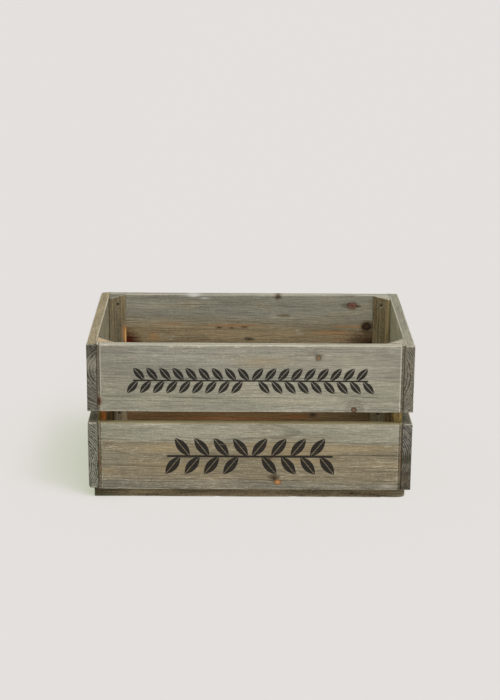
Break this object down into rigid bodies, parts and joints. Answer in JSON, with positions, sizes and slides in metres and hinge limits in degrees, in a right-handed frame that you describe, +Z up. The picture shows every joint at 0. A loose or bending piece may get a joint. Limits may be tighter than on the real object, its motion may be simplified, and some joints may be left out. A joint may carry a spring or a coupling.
{
  "type": "crate planter",
  "caption": "Open-topped rectangular wooden crate planter with slotted board sides, triangular posts in the inside corners and a slatted base with drainage gaps.",
  "frame": {"origin": "on the ground under the middle of the crate", "axes": "+X along the crate to the right end as seen from the front, +Y to the back, +Z up"},
  "size_m": [0.351, 0.22, 0.1743],
  "materials": {
    "board_wood": "grey-washed, weathered, matt, with lighter rubbed edges",
    "post_wood": "rough-sawn, brown-grey, matt",
    "slat_wood": "rough-sawn, dark brown-grey, matt",
    "brad_steel": "dull, darkened"
  },
  "bodies": {
    "root": {"front_upper_board": "board_wood", "front_lower_board": "board_wood", "back_upper_board": "board_wood", "back_lower_board": "board_wood", "left_upper_board": "board_wood", "left_lower_board": "board_wood", "right_upper_board": "board_wood", "right_lower_board": "board_wood", "front_left_post": "post_wood", "front_right_post": "post_wood", "back_left_post": "post_wood", "back_right_post": "post_wood", "front_base_slat": "slat_wood", "middle_base_slat": "slat_wood", "back_base_slat": "slat_wood", "front_upper_brad_left_top": "brad_steel", "front_upper_brad_left_bottom": "brad_steel", "front_upper_brad_right_top": "brad_steel", "front_upper_brad_right_bottom": "brad_steel", "front_lower_brad_left_top": "brad_steel", "front_lower_brad_left_bottom": "brad_steel", "front_lower_brad_right_top": "brad_steel", "front_lower_brad_right_bottom": "brad_steel", "back_upper_brad_left_top": "brad_steel", "back_upper_brad_left_bottom": "brad_steel", "back_upper_brad_right_top": "brad_steel", "back_upper_brad_right_bottom": "brad_steel", "back_lower_brad_left_top": "brad_steel", "back_lower_brad_left_bottom": "brad_steel", "back_lower_brad_right_top": "brad_steel", "back_lower_brad_right_bottom": "brad_steel", "left_upper_brad_front_top": "brad_steel", "left_upper_brad_front_bottom": "brad_steel", "left_upper_brad_back_top": "brad_steel", "left_upper_brad_back_bottom": "brad_steel", "left_lower_brad_front_top": "brad_steel", "left_lower_brad_front_bottom": "brad_steel", "left_lower_brad_back_top": "brad_steel", "left_lower_brad_back_bottom": "brad_steel", "right_upper_brad_front_top": "brad_steel", "right_upper_brad_front_bottom": "brad_steel", "right_upper_brad_back_top": "brad_steel", "right_upper_brad_back_bottom": "brad_steel", "right_lower_brad_front_top": "brad_steel", "right_lower_brad_front_bottom": "brad_steel", "right_lower_brad_back_top": "brad_steel", "right_lower_brad_back_bottom": "brad_steel", "front_base_brad_1": "brad_steel", "front_base_brad_2": "brad_steel", "front_base_brad_3": "brad_steel", "front_base_brad_4": "brad_steel", "middle_base_brad_1": "brad_steel", "middle_base_brad_2": "brad_steel", "middle_base_brad_3": "brad_steel", "middle_base_brad_4": "brad_steel", "back_base_brad_1": "brad_steel", "back_base_brad_2": "brad_steel", "back_base_brad_3": "brad_steel", "back_base_brad_4": "brad_steel"}
  },
  "joints": []
}
